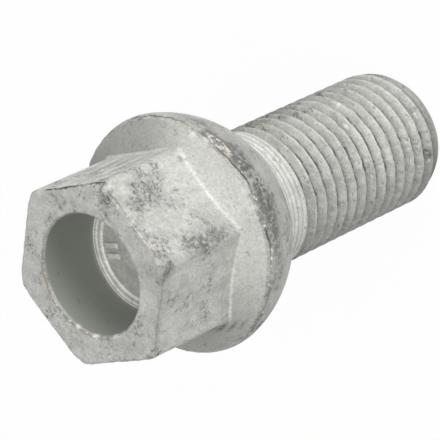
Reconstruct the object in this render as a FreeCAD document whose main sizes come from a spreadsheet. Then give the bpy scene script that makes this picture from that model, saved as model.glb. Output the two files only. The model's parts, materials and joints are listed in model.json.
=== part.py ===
"""Ball-seat wheel bolt: hexagon head with a stepped recess, conical collar, ball seat and shank.

Millimetres. The bolt stands on its shank end: the origin is the centre of that end face, and +Z
runs along the axis to the head. One corner of the hexagon lies on +X.
"""
import FreeCAD
import Part
import Sketcher

import math
import os

NODE = "wheel_bolt"

# Driving dimensions; every depth is measured down from the head face
SIZES = {
    "total_length": 44.2,
    "shank_diameter": 13.86,
    "tip_chamfer_length": 1.7,
    "tip_chamfer_width": 0.89,
    "neck_fillet_radius": 2.5,
    "seat_radius": 12.0,
    "seat_end_depth": 19.9,
    "rim_depth": 11.4,
    "rim_inset": 0.42,
    "collar_edge_radius": 2.1,
    "collar_cone_angle": 24.0,
    "hex_across_flats": 16.9,
    "hex_corner_radius": 0.8,
    "hex_base_fillet": 0.5,
    "head_face_diameter": 17.9,
    "head_chamfer_angle": 30.0,
    "recess_diameter": 11.8,
    "recess_depth": 6.7,
    "recess_mouth_chamfer": 0.2,
    "recess_ledge_width": 0.45,
    "recess_step_width": 0.35,
    "recess_step_depth": 0.4,
}

# Expressions that several sketches share
HEAD_TOP = "sizes.total_length"
SHANK_R = "sizes.shank_diameter / 2"
TIP_R = f"{SHANK_R} - sizes.tip_chamfer_width"
SEAT_CENTRE = f"{HEAD_TOP} - sizes.seat_end_depth + sqrt(sizes.seat_radius ^ 2 - ({SHANK_R}) ^ 2)"
RIM_HEIGHT = f"{HEAD_TOP} - sizes.rim_depth"
RIM_R = f"sqrt((sizes.seat_radius - sizes.rim_inset) ^ 2 - ({SEAT_CENTRE} - ({RIM_HEIGHT})) ^ 2)"
HEX_CORNER_R = "sizes.hex_across_flats / (2 * cos(30 deg))"
HEAD_FACE_R = "sizes.head_face_diameter / 2"
HEAD_CHAMFER_FOOT = f"{HEAD_TOP} - ({RIM_R} - {HEAD_FACE_R}) * tan(sizes.head_chamfer_angle * 1 deg)"
RECESS_R = "sizes.recess_diameter / 2"
LEDGE_HEIGHT = f"{HEAD_TOP} - sizes.recess_depth"
LEDGE_R = f"{RECESS_R} - sizes.recess_ledge_width"
FLOOR_HEIGHT = f"{LEDGE_HEIGHT} - sizes.recess_step_depth"
FLOOR_R = f"{LEDGE_R} - sizes.recess_step_width"
CORE_HEIGHT = f"{RIM_HEIGHT} + ({RIM_R} - {RECESS_R}) * tan(sizes.collar_cone_angle * 1 deg)"

# Marks that the sketcher uses for the ends of an edge, the origin and the upright axis
START, END, CENTRE = 1, 2, 3
ORIGIN, UPRIGHT = -1, -2

HEX_SIDES = 6
MATCH = 1e-3

doc = FreeCAD.newDocument("wheel_bolt_document")


def make_sheet():
    """Write the driving dimensions into a sheet, with one alias for each."""
    sheet = doc.addObject("Spreadsheet::Sheet", "sizes")
    for row, (name, size) in enumerate(SIZES.items(), start=1):
        sheet.set(f"A{row}", name)
        sheet.set(f"B{row}", str(size))
        sheet.setAlias(f"B{row}", name)
    doc.recompute()


def value(expression):
    """Return the number that an expression on the sheet stands for."""
    result = doc.getObject("sizes").evalExpression(expression)
    return float(getattr(result, "Value", result))


def origin_feature(body, role):
    """Return the body's origin plane or axis of that role."""
    return next(item for item in body.Origin.OriginFeatures if item.Role == role)


def new_sketch(body, name, role):
    """Start a sketch on one of the body's origin planes."""
    sketch = body.newObject("Sketcher::SketchObject", name)
    sketch.AttachmentSupport = [(origin_feature(body, role), "")]
    sketch.MapMode = "FlatFace"
    return sketch


def at(x, y):
    """Return a point of a sketch."""
    return FreeCAD.Vector(x, y, 0)


def arc(centre, radius, start_angle, end_angle):
    """Return an arc that turns counter-clockwise from one angle, in radians, to another."""
    circle = Part.Circle(centre, FreeCAD.Vector(0, 0, 1), radius)
    return Part.ArcOfCircle(circle, start_angle, end_angle)


def drive(sketch, kind, name, expression, *where):
    """Add a named dimension to a sketch and bind it to the sheet."""
    index = sketch.addConstraint(Sketcher.Constraint(kind, *where, value(expression)))
    sketch.renameConstraint(index, name)
    sketch.setExpression(f"Constraints.{name}", expression)


def drive_x(sketch, name, expression, edge, end):
    """Bind the distance of an edge's end from the axis."""
    drive(sketch, "DistanceX", name, expression, ORIGIN, START, edge, end)


def drive_y(sketch, name, expression, edge, end):
    """Bind the height of an edge's end above the origin."""
    drive(sketch, "DistanceY", name, expression, ORIGIN, START, edge, end)


def draw_polygon(sketch, corners):
    """Draw a closed outline whose corners are (name, x, y) expressions; no x means on the axis."""
    spots = [at(value(x) if x else 0.0, value(y)) for _, x, y in corners]
    count = len(spots)
    edges = [
        sketch.addGeometry(Part.LineSegment(spots[i], spots[(i + 1) % count]), False)
        for i in range(count)
    ]
    for i, (name, x, y) in enumerate(corners):
        sketch.addConstraint(Sketcher.Constraint("Coincident", edges[i - 1], END, edges[i], START))
        drive_y(sketch, f"{name}_height", y, edges[i], START)
        if x:
            drive_x(sketch, f"{name}_radius", x, edges[i], START)
        else:
            sketch.addConstraint(Sketcher.Constraint("PointOnObject", edges[i], START, UPRIGHT))


def draw_turned_profile(sketch):
    """Draw half the section of shank, neck, ball seat and collar, from the end face up."""
    shank_r, neck_r = value(SHANK_R), value("sizes.neck_fillet_radius")
    seat_r, edge_r = value("sizes.seat_radius"), value("sizes.collar_edge_radius")
    seat_z, rim_r, rim_z = value(SEAT_CENTRE), value(RIM_R), value(RIM_HEIGHT)
    core_r, core_z = value(RECESS_R), value(CORE_HEIGHT)
    tip_r, chamfer_z = value(TIP_R), value("sizes.tip_chamfer_length")

    # The neck fillet touches the shank and the ball from outside
    neck_x = shank_r + neck_r
    neck_z = seat_z - math.sqrt((seat_r + neck_r) ** 2 - neck_x**2)
    neck_angle = math.atan2(seat_z - neck_z, -neck_x)

    # The collar edge touches the ball from inside and ends at the rim
    rim_reach = math.hypot(rim_r, rim_z - seat_z)
    edge_reach = seat_r - edge_r
    rim_angle = math.atan2(rim_z - seat_z, rim_r)
    spread = math.acos((edge_reach**2 + rim_reach**2 - edge_r**2) / (2 * edge_reach * rim_reach))
    edge_angle = rim_angle - spread
    edge_x = edge_reach * math.cos(edge_angle)
    edge_z = seat_z + edge_reach * math.sin(edge_angle)
    edge_end_angle = math.atan2(rim_z - edge_z, rim_r - edge_x)

    add = sketch.addGeometry
    end_face = add(Part.LineSegment(at(0, 0), at(tip_r, 0)), False)
    chamfer = add(Part.LineSegment(at(tip_r, 0), at(shank_r, chamfer_z)), False)
    shank = add(Part.LineSegment(at(shank_r, chamfer_z), at(shank_r, neck_z)), False)
    neck = add(arc(at(neck_x, neck_z), neck_r, neck_angle, math.pi), False)
    seat = add(arc(at(0, seat_z), seat_r, neck_angle - math.pi, edge_angle), False)
    edge = add(arc(at(edge_x, edge_z), edge_r, edge_angle, edge_end_angle), False)
    cone = add(Part.LineSegment(at(rim_r, rim_z), at(core_r, core_z)), False)
    core = add(Part.LineSegment(at(core_r, core_z), at(0, core_z)), False)
    axis = add(Part.LineSegment(at(0, core_z), at(0, 0)), False)

    sketch.addConstraint(
        [
            Sketcher.Constraint("Coincident", end_face, START, ORIGIN, START),
            Sketcher.Constraint("Horizontal", end_face),
            Sketcher.Constraint("Coincident", end_face, END, chamfer, START),
            Sketcher.Constraint("Coincident", chamfer, END, shank, START),
            Sketcher.Constraint("Vertical", shank),
            Sketcher.Constraint("Tangent", shank, END, neck, END),
            Sketcher.Constraint("Tangent", neck, START, seat, START),
            Sketcher.Constraint("Tangent", seat, END, edge, START),
            Sketcher.Constraint("PointOnObject", seat, CENTRE, UPRIGHT),
            Sketcher.Constraint("Coincident", edge, END, cone, START),
            Sketcher.Constraint("Coincident", cone, END, core, START),
            Sketcher.Constraint("Horizontal", core),
            Sketcher.Constraint("Coincident", core, END, axis, START),
            Sketcher.Constraint("Coincident", axis, END, ORIGIN, START),
            Sketcher.Constraint("Vertical", axis),
        ]
    )
    drive_x(sketch, "tip_radius", TIP_R, chamfer, START)
    drive_x(sketch, "shank_radius", SHANK_R, chamfer, END)
    drive_y(sketch, "chamfer_height", "sizes.tip_chamfer_length", chamfer, END)
    drive(sketch, "Radius", "neck_radius", "sizes.neck_fillet_radius", neck)
    drive(sketch, "Radius", "ball_radius", "sizes.seat_radius", seat)
    drive_y(sketch, "ball_height", SEAT_CENTRE, seat, CENTRE)
    drive(sketch, "Radius", "edge_radius", "sizes.collar_edge_radius", edge)
    drive_x(sketch, "rim_radius", RIM_R, cone, START)
    drive_y(sketch, "rim_height", RIM_HEIGHT, cone, START)
    drive_x(sketch, "core_radius", RECESS_R, cone, END)
    drive_y(sketch, "core_height", CORE_HEIGHT, cone, END)


def add_turned_form(body):
    """Revolve the section into shank, seat and collar."""
    sketch = new_sketch(body, "turned_section", "YZ_Plane")
    draw_turned_profile(sketch)
    turned = body.newObject("PartDesign::Revolution", "turned_form")
    turned.Profile = sketch
    turned.ReferenceAxis = (origin_feature(body, "Z_Axis"), [""])
    turned.Angle = 360
    doc.recompute()


def add_hexagon(body):
    """Raise the hexagon from the rim's level to the head face and round its six edges."""
    sketch = new_sketch(body, "hexagon_section", "XY_Plane")
    sketch.setExpression("AttachmentOffset.Base.z", HEAD_TOP)
    corner_r = value(HEX_CORNER_R)
    corners = [
        at(corner_r * math.cos(math.radians(60 * i)), corner_r * math.sin(math.radians(60 * i)))
        for i in range(HEX_SIDES)
    ]
    sides = [
        sketch.addGeometry(Part.LineSegment(corners[i], corners[(i + 1) % HEX_SIDES]), False)
        for i in range(HEX_SIDES)
    ]
    guide = sketch.addGeometry(Part.Circle(at(0, 0), FreeCAD.Vector(0, 0, 1), corner_r), True)
    sketch.addConstraint(Sketcher.Constraint("Coincident", guide, CENTRE, ORIGIN, START))
    for i in range(HEX_SIDES):
        sketch.addConstraint(Sketcher.Constraint("Coincident", sides[i - 1], END, sides[i], START))
        sketch.addConstraint(Sketcher.Constraint("PointOnObject", sides[i], START, guide))
        if i:
            sketch.addConstraint(Sketcher.Constraint("Equal", sides[0], sides[i]))
    sketch.addConstraint(Sketcher.Constraint("PointOnObject", sides[0], START, ORIGIN))
    drive(sketch, "Radius", "corner_radius", HEX_CORNER_R, guide)

    hexagon = body.newObject("PartDesign::Pad", "hexagon")
    hexagon.Profile = sketch
    hexagon.Reversed = True
    hexagon.setExpression("Length", "sizes.rim_depth")
    doc.recompute()
    round_edges(body, hexagon, "hexagon_edges", is_hexagon_edge, "sizes.hex_corner_radius")


def is_hexagon_edge(shape, edge):
    """Tell whether an edge is one of the six upright edges of the hexagon."""
    if not isinstance(edge.Curve, Part.Line):
        return False
    middle = edge.CenterOfMass
    return abs(math.hypot(middle.x, middle.y) - value(HEX_CORNER_R)) < MATCH


def is_hexagon_foot(shape, edge):
    """Tell whether an edge is where the hexagon rises from the collar's cone."""
    faces = shape.ancestorsOfType(edge, Part.Face)
    cones = [face for face in faces if isinstance(face.Surface, Part.Cone)]
    walls = [face for face in faces if isinstance(face.Surface, (Part.Plane, Part.Cylinder))]
    in_collar = edge.BoundBox.ZMax < value(CORE_HEIGHT) and edge.BoundBox.ZMin > value(RIM_HEIGHT)
    return bool(cones and walls and in_collar)


def round_edges(body, base, name, wanted, radius):
    """Fillet those edges of a feature that the given test picks."""
    shape = base.Shape
    picked = [f"Edge{i}" for i, edge in enumerate(shape.Edges, start=1) if wanted(shape, edge)]
    if not picked:
        raise RuntimeError(f"{name}: no edge to round")
    fillet = body.newObject("PartDesign::Fillet", name)
    fillet.Base = (base, picked)
    fillet.setExpression("Radius", radius)
    doc.recompute()


def cut_turned(body, name, corners):
    """Turn a closed outline out of the solid, and check that it took material away."""
    before = body.Shape.Volume
    sketch = new_sketch(body, f"{name}_section", "XZ_Plane")
    draw_polygon(sketch, corners)
    groove = body.newObject("PartDesign::Groove", name)
    groove.Profile = sketch
    groove.ReferenceAxis = (origin_feature(body, "Z_Axis"), [""])
    groove.Angle = 360
    doc.recompute()
    if body.Shape.Volume >= before:
        raise RuntimeError(f"{name}: nothing was cut")


def add_head_chamfer(body):
    """Turn the hexagon's corners down to the round head face."""
    corners = [
        ("face", HEAD_FACE_R, HEAD_TOP),
        ("outer", RIM_R, HEAD_TOP),
        ("foot", RIM_R, HEAD_CHAMFER_FOOT),
    ]
    cut_turned(body, "head_chamfer", corners)


def add_recess(body):
    """Sink the recess: chamfered mouth, wall, narrow ledge and a step down to the floor."""
    corners = [
        ("mouth_middle", None, HEAD_TOP),
        ("mouth", f"{RECESS_R} + sizes.recess_mouth_chamfer", HEAD_TOP),
        ("wall_top", RECESS_R, f"{HEAD_TOP} - sizes.recess_mouth_chamfer"),
        ("wall_foot", RECESS_R, LEDGE_HEIGHT),
        ("ledge", LEDGE_R, LEDGE_HEIGHT),
        ("floor_edge", FLOOR_R, FLOOR_HEIGHT),
        ("floor_middle", None, FLOOR_HEIGHT),
    ]
    cut_turned(body, "head_recess", corners)


def build_bolt():
    """Build the bolt as one solid."""
    body = doc.addObject("PartDesign::Body", NODE)
    body.Label = NODE
    add_turned_form(body)
    add_hexagon(body)
    round_edges(body, body.Tip, "hexagon_foot", is_hexagon_foot, "sizes.hex_base_fillet")
    add_head_chamfer(body)
    add_recess(body)
    body.Placement = FreeCAD.Placement()
    doc.recompute()
    return body


def check_document(body):
    """Stop unless every object was rebuilt and the bolt is one valid solid."""
    for item in doc.Objects:
        if "Invalid" in item.State or "Error" in item.State:
            raise RuntimeError(f"{item.Name}: {item.State}")
    shape = body.Shape
    if shape.isNull() or not shape.isValid() or len(shape.Solids) != 1:
        raise RuntimeError(f"{body.Label}: not one valid solid")


def main():
    """Build, check and write the bolt."""
    make_sheet()
    bolt = build_bolt()
    check_document(bolt)
    os.makedirs("parts", exist_ok=True)
    bolt.Shape.exportStep(f"parts/{bolt.Label}.step")
    centre = bolt.Shape.CenterOfGravity
    print(f"{bolt.Label}: {bolt.Shape.Volume:.1f} mm3, centre of mass {centre.z:.2f} mm up")


main()
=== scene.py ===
"""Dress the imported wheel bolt: rolled thread, worn edges, scuffed zinc coat, studio and camera.

The bolt stands on its shank end at the origin, with +Z along its axis to the head. Sizes are in
millimetres unless a name says otherwise, and become metres where a mesh is made.
"""
import json
import logging
import math
from collections.abc import Callable
from dataclasses import dataclass, field
from enum import Enum
from typing import NamedTuple

import bpy
import numpy as np
from mathutils import Matrix, Vector, noise


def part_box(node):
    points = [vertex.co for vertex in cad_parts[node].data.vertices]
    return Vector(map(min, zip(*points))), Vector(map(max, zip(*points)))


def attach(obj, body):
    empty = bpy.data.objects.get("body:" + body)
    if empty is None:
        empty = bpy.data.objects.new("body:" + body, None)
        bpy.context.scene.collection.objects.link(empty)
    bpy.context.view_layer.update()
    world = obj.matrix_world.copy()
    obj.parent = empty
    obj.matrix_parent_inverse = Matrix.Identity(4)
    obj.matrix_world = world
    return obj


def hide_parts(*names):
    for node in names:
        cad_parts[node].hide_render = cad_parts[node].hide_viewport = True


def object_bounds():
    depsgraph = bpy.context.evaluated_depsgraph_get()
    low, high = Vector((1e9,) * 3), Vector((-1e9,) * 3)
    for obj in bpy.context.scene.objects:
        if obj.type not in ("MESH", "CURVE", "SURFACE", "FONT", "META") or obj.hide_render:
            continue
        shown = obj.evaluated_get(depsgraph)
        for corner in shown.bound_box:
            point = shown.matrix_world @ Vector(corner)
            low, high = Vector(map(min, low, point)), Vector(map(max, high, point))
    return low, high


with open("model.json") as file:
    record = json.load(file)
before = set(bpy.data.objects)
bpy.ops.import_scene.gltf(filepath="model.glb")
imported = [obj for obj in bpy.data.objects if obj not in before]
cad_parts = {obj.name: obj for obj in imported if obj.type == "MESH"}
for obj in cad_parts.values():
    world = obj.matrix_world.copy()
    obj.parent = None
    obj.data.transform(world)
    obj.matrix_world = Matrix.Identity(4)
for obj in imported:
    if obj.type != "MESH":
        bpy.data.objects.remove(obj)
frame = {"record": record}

CAD_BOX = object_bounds()
LOG = logging.getLogger("wheel_bolt")

MM = 0.001
TINY = 1e-6
FULL_TURN = 2.0 * math.pi
NODE = "wheel_bolt"
BODY = "root"
HEX_SIDES = 6
FAR = 9.0
WAYS = ("rim_way", "edge_way", "mouth_way")

Socket = bpy.types.NodeSocket
Colour = tuple[float, float, float]
Place = tuple[float, float, float]


class Zone(Enum):
    """Stretches of the bolt's skin, from the shank's end to the floor of the recess."""

    END_FACE = 0
    SHANK = 1
    NECK = 2
    SEAT = 3
    COLLAR_EDGE = 4
    CONE = 5
    FOOT = 6
    FLAT = 7
    HEAD_EDGE = 8
    FACE = 9
    MOUTH = 10
    WALL = 11
    LEDGE = 12
    FLOOR = 13


class Step(NamedTuple):
    """A soft step: start at low, end at high."""

    low: float
    high: float
    start: float = 0.0
    end: float = 1.0

    def at(self, value: np.ndarray) -> np.ndarray:
        """Return the step's value for each number.

        Args:
            value: Numbers to map.

        Returns:
            Numbers between start and end.
        """
        part = np.clip((value - self.low) / (self.high - self.low), 0.0, 1.0)
        return self.start + (self.end - self.start) * part * part * (3.0 - 2.0 * part)


def mount_radius(name: str) -> float:
    """Return a round mount's radius in millimetres.

    Args:
        name: The mount's name in the record.

    Returns:
        The radius that the record states.
    """
    mounts = {mount["name"]: mount for mount in frame["record"]["mounts"]}
    return float(mounts[name]["dims"]["r_mm"])


def turn_between(first: np.ndarray, second: float) -> np.ndarray:
    """Return the signed turn in degrees from one angle to others, within half a turn."""
    return (first - second + 180.0) % 360.0 - 180.0


def bell(way: np.ndarray, reach: float) -> np.ndarray:
    """Return a weight that is 1 at no distance and fades over a reach."""
    return np.exp(-((way / reach) ** 2))


@dataclass(frozen=True)
class BoltSizes:
    """Sizes of the bolt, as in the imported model."""

    length: float
    shank_radius: float
    recess_radius: float
    tip_chamfer_length: float = 1.7
    tip_chamfer_width: float = 0.89
    tip_bevel: float = 0.12
    neck_fillet: float = 2.5
    seat_radius: float = 12.0
    seat_end_depth: float = 19.9
    rim_depth: float = 11.4
    rim_inset: float = 0.42
    collar_edge_radius: float = 2.1
    cone_angle: float = 24.0
    across_flats: float = 16.9
    hex_corner: float = 0.8
    hex_foot: float = 0.5
    face_radius: float = 8.95
    head_chamfer_angle: float = 30.0
    edge_bevel: float = 0.14
    recess_depth: float = 6.7
    mouth_chamfer: float = 0.2
    ledge_width: float = 0.45
    step_width: float = 0.35
    step_depth: float = 0.4

    @classmethod
    def from_frame(cls) -> "BoltSizes":
        """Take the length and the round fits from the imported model.

        Returns:
            The bolt's sizes.
        """
        low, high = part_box(NODE)
        return cls(
            length=(high.z - low.z) / MM,
            shank_radius=mount_radius("threaded_shank"),
            recess_radius=mount_radius("head_recess"),
        )

    @property
    def tip_radius(self) -> float:
        """Radius of the shank's end face."""
        return self.shank_radius - self.tip_chamfer_width

    @property
    def seat_centre(self) -> float:
        """Height of the centre of the ball seat."""
        rise = math.sqrt(self.seat_radius**2 - self.shank_radius**2)
        return self.length - self.seat_end_depth + rise

    @property
    def rim_height(self) -> float:
        """Height of the collar's rim."""
        return self.length - self.rim_depth

    @property
    def rim_radius(self) -> float:
        """Radius of the collar's rim."""
        reach = self.seat_radius - self.rim_inset
        return math.sqrt(reach**2 - (self.seat_centre - self.rim_height) ** 2)

    @property
    def neck_height(self) -> float:
        """Height where the shank runs into the neck fillet."""
        reach = self.seat_radius + self.neck_fillet
        return self.seat_centre - math.sqrt(reach**2 - (self.shank_radius + self.neck_fillet) ** 2)

    @property
    def recess_floor(self) -> float:
        """Height of the recess's floor."""
        return self.length - self.recess_depth - self.step_depth


@dataclass
class Ring:
    """One closed line of the skin: a radius and a height for each column."""

    zone: Zone
    radius: np.ndarray
    height: np.ndarray
    rim_way: np.ndarray
    edge_way: np.ndarray
    mouth_way: np.ndarray


@dataclass(frozen=True)
class RingPlan:
    """How many rings each stretch of skin has, or where in the stretch they lie, from 0 to 1."""

    end_face: tuple[float, ...] = (0.3, 0.6, 0.85, 1.0)
    neck: int = 9
    seat: int = 22
    collar_edge: int = 13
    cone: tuple[float, ...] = (0.05, 0.12, 0.2, *np.linspace(0.32, 1.0, 8))
    foot: int = 7
    flat: tuple[float, ...] = (*np.linspace(0.0, 0.90, 34)[1:], 0.92, 0.94, 0.96, 0.975, 0.99)
    head_edge: int = 5
    face: tuple[float, ...] = (0.04, 0.09, 0.15, *np.linspace(0.24, 0.9, 8), 0.95, 1.0)
    mouth: tuple[float, ...] = (0.35, 0.7, 1.0)
    wall: tuple[float, ...] = (0.02, 0.05, 0.09, *np.linspace(0.16, 1.0, 11))
    ledge: tuple[float, ...] = tuple(np.linspace(0.1, 1.0, 8))
    step: tuple[float, ...] = (0.2, 0.4, 0.6, 0.8, 1.0)
    floor: tuple[float, ...] = (0.97, 0.85, 0.65, 0.42, 0.2)


@dataclass
class BoltBlank:
    """The unthreaded bolt as one closed skin of rings, with a helical lattice on the shank."""

    sizes: BoltSizes
    pitch: float
    row_shares: tuple[float, ...]
    columns: int = 312
    corner_bias: float = 0.55
    row_margin: float = 0.04
    turns_below: int = 2
    plan: RingPlan = RingPlan()
    rings: list[Ring] = field(default_factory=list)

    def angles(self) -> np.ndarray:
        """Return the columns' angles in radians, closest together at the hexagon's corners."""
        even = np.arange(self.columns) * FULL_TURN / self.columns
        return even - self.corner_bias * np.sin(HEX_SIDES * even) / HEX_SIDES

    def hex_radius(self) -> np.ndarray:
        """Work out the hexagon with its rounded corners.

        Returns:
            The radius in each column.
        """
        half_flat = self.sizes.across_flats / 2.0
        corner = self.sizes.hex_corner
        step = FULL_TURN / HEX_SIDES
        half = step / 2.0
        off_corner = np.abs((self.angles() + half) % step - half)
        flat = half_flat / np.cos(half - off_corner)
        centre = (half_flat - corner) / math.cos(half)
        inside = np.maximum(corner**2 - (centre * np.sin(off_corner)) ** 2, 0.0)
        arc = centre * np.cos(off_corner) + np.sqrt(inside)
        tangent = math.atan2(corner * math.sin(half), centre + corner * math.cos(half))
        return np.where(off_corner < tangent, arc, flat)

    def add(
        self,
        zone: Zone,
        radius: np.ndarray | float,
        height: np.ndarray | float,
        **ways: np.ndarray | float,
    ) -> None:
        """Add one ring to the skin.

        Args:
            zone: The stretch of skin that the ring belongs to.
            radius: Its radius, one for all columns or one for each.
            height: Its height, one for all columns or one for each.
            ways: Distances along the skin to the rim, the head's edge and the recess's mouth.
        """
        full = np.ones(self.columns)
        reached = [ways.get(name, FAR) * full for name in WAYS]
        self.rings.append(Ring(zone, radius * full, height * full, *reached))

    def add_end_face(self) -> None:
        """Add the rings of the shank's flat end."""
        reach = self.sizes.tip_radius - self.sizes.tip_bevel
        for share in self.plan.end_face:
            self.add(Zone.END_FACE, reach * share, 0.0)

    def add_neck_and_seat(self) -> None:
        """Add the neck fillet, the ball seat and the collar's rounded edge up to the rim."""
        sizes = self.sizes
        neck_x = sizes.shank_radius + sizes.neck_fillet
        neck_angle = math.atan2(sizes.seat_centre - sizes.neck_height, -neck_x)
        for angle in np.linspace(math.pi, neck_angle, self.plan.neck):
            radius = neck_x + sizes.neck_fillet * math.cos(angle)
            self.add(Zone.NECK, radius, sizes.neck_height + sizes.neck_fillet * math.sin(angle))
        rim_rise = sizes.rim_height - sizes.seat_centre
        rim_reach = math.hypot(sizes.rim_radius, rim_rise)
        edge_reach = sizes.seat_radius - sizes.collar_edge_radius
        cosine = edge_reach**2 + rim_reach**2 - sizes.collar_edge_radius**2
        spread = math.acos(cosine / (2.0 * edge_reach * rim_reach))
        edge_angle = math.atan2(rim_rise, sizes.rim_radius) - spread
        edge_x = edge_reach * math.cos(edge_angle)
        edge_z = sizes.seat_centre + edge_reach * math.sin(edge_angle)
        end_angle = math.atan2(sizes.rim_height - edge_z, sizes.rim_radius - edge_x)
        edge_length = (end_angle - edge_angle) * sizes.collar_edge_radius
        for angle in np.linspace(neck_angle - math.pi, edge_angle, self.plan.seat)[1:]:
            self.add(
                Zone.SEAT,
                sizes.seat_radius * math.cos(angle),
                sizes.seat_centre + sizes.seat_radius * math.sin(angle),
                rim_way=edge_length + (edge_angle - angle) * sizes.seat_radius,
            )
        for angle in np.linspace(edge_angle, end_angle, self.plan.collar_edge)[1:]:
            self.add(
                Zone.COLLAR_EDGE,
                edge_x + sizes.collar_edge_radius * math.cos(angle),
                edge_z + sizes.collar_edge_radius * math.sin(angle),
                rim_way=(end_angle - angle) * sizes.collar_edge_radius,
            )

    def add_cone_and_foot(self) -> None:
        """Add the collar's cone and the fillet from which the hexagon rises."""
        sizes = self.sizes
        slope = math.radians(sizes.cone_angle)
        flat = self.hex_radius()
        reach = sizes.hex_foot * math.tan((math.pi / 2.0 - slope) / 2.0)
        foot = flat + reach * math.cos(slope)
        for part in self.plan.cone:
            radius = sizes.rim_radius + (foot - sizes.rim_radius) * part
            inward = sizes.rim_radius - radius
            height = sizes.rim_height + inward * math.tan(slope)
            self.add(Zone.CONE, radius, height, rim_way=-inward / math.cos(slope))
        level = sizes.rim_height + (sizes.rim_radius - foot) * math.tan(slope)
        centre_x = flat + sizes.hex_foot
        centre_z = level + sizes.hex_foot * math.cos(slope)
        for angle in np.linspace(-math.pi / 2.0 - slope, -math.pi, self.plan.foot)[1:]:
            radius = centre_x + sizes.hex_foot * math.cos(angle)
            self.add(Zone.FOOT, radius, centre_z + sizes.hex_foot * math.sin(angle))

    def add_flats_and_face(self) -> None:
        """Add the flats, the head's chamfered edge and the ring face round the recess."""
        sizes = self.sizes
        flat = self.hex_radius()
        lean = math.tan(math.radians(sizes.head_chamfer_angle))
        inner = np.minimum(sizes.face_radius, flat - sizes.edge_bevel)
        drop = np.maximum((flat - inner) * lean, sizes.edge_bevel)
        top = sizes.length - drop
        bottom = self.rings[-1].height
        for part in self.plan.flat:
            height = bottom + (top - bottom) * part
            self.add(Zone.FLAT, flat, height, edge_way=top - height)
        for part in np.linspace(0.0, 1.0, self.plan.head_edge):
            radius = flat + (inner - flat) * part
            way = np.hypot(flat - radius, drop * part)
            self.add(Zone.HEAD_EDGE, radius, top + drop * part, edge_way=-way)
        mouth = sizes.recess_radius + sizes.mouth_chamfer
        chamfer = np.hypot(flat - inner, drop)
        for part in self.plan.face:
            radius = inner + (mouth - inner) * part
            edge_way = -(chamfer + inner - radius)
            self.add(Zone.FACE, radius, sizes.length, edge_way=edge_way, mouth_way=radius - mouth)

    def add_recess(self) -> None:
        """Add the recess: chamfered mouth, wall, ledge, step and floor."""
        sizes = self.sizes
        outer = sizes.recess_radius
        for part in self.plan.mouth:
            way = sizes.mouth_chamfer * part
            radius = outer + sizes.mouth_chamfer - way
            self.add(Zone.MOUTH, radius, sizes.length - way, mouth_way=-way * math.sqrt(2.0))
        for part in self.plan.wall:
            depth = sizes.mouth_chamfer + (sizes.recess_depth - sizes.mouth_chamfer) * part
            self.add(Zone.WALL, outer, sizes.length - depth, mouth_way=-depth)
        ledge = sizes.length - sizes.recess_depth
        for part in self.plan.ledge:
            self.add(Zone.LEDGE, outer - sizes.ledge_width * part, ledge)
        inner = outer - sizes.ledge_width
        for part in self.plan.step:
            self.add(Zone.LEDGE, inner - sizes.step_width * part, ledge - sizes.step_depth * part)
        for part in self.plan.floor:
            self.add(Zone.FLOOR, (inner - sizes.step_width) * part, sizes.recess_floor)

    def shank_profile(self, height: np.ndarray) -> np.ndarray:
        """Return the unthreaded shank's radius at a height."""
        share = np.clip(height / self.sizes.tip_chamfer_length, 0.0, 1.0)
        return self.sizes.tip_radius + (self.sizes.shank_radius - self.sizes.tip_radius) * share

    def lattice_rows(self) -> list[dict[int, float]]:
        """Lay out the shank's rows, which follow the helix.

        Returns:
            For each column, the heights of its rows by number.
        """
        low = self.sizes.tip_bevel + self.row_margin
        high = self.sizes.neck_height - self.row_margin
        turns = range(-self.turns_below, math.ceil(self.sizes.neck_height / self.pitch) + 1)
        slots = [
            (turn * len(self.row_shares) + slot, turn + share)
            for turn in turns
            for slot, share in enumerate(self.row_shares)
        ]
        rows = []
        for angle in self.angles():
            heights = {row: self.pitch * (climb + angle / FULL_TURN) for row, climb in slots}
            rows.append({row: height for row, height in heights.items() if low < height < high})
        return rows

    def build(self) -> bpy.types.Mesh:
        """Join all rings and the helical lattice into one mesh with way and zone attributes.

        Returns:
            The blank's mesh, in metres.
        """
        self.add_end_face()
        end_rings = len(self.rings)
        self.add_neck_and_seat()
        self.add_cone_and_foot()
        self.add_flats_and_face()
        self.add_recess()
        skin = SkinMesh(self.angles())
        lower = [skin.add_ring(ring) for ring in self.rings[:end_rings]]
        upper = [skin.add_ring(ring) for ring in self.rings[end_rings:]]
        skin.bridge(lower)
        skin.bridge(upper)
        bevel = self.sizes.tip_bevel
        self.add(Zone.SHANK, self.shank_profile(np.array(bevel)), bevel)
        edge = skin.add_ring(self.rings.pop())
        skin.bridge([lower[-1], edge])
        skin.weave(edge, upper[0], self.lattice_rows(), len(self.row_shares), self.shank_profile)
        skin.close(lower[0], 0.0, Zone.END_FACE, flip=True)
        skin.close(upper[-1], self.sizes.recess_floor, Zone.FLOOR, flip=False)
        return skin.to_mesh("bolt_blank")


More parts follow.
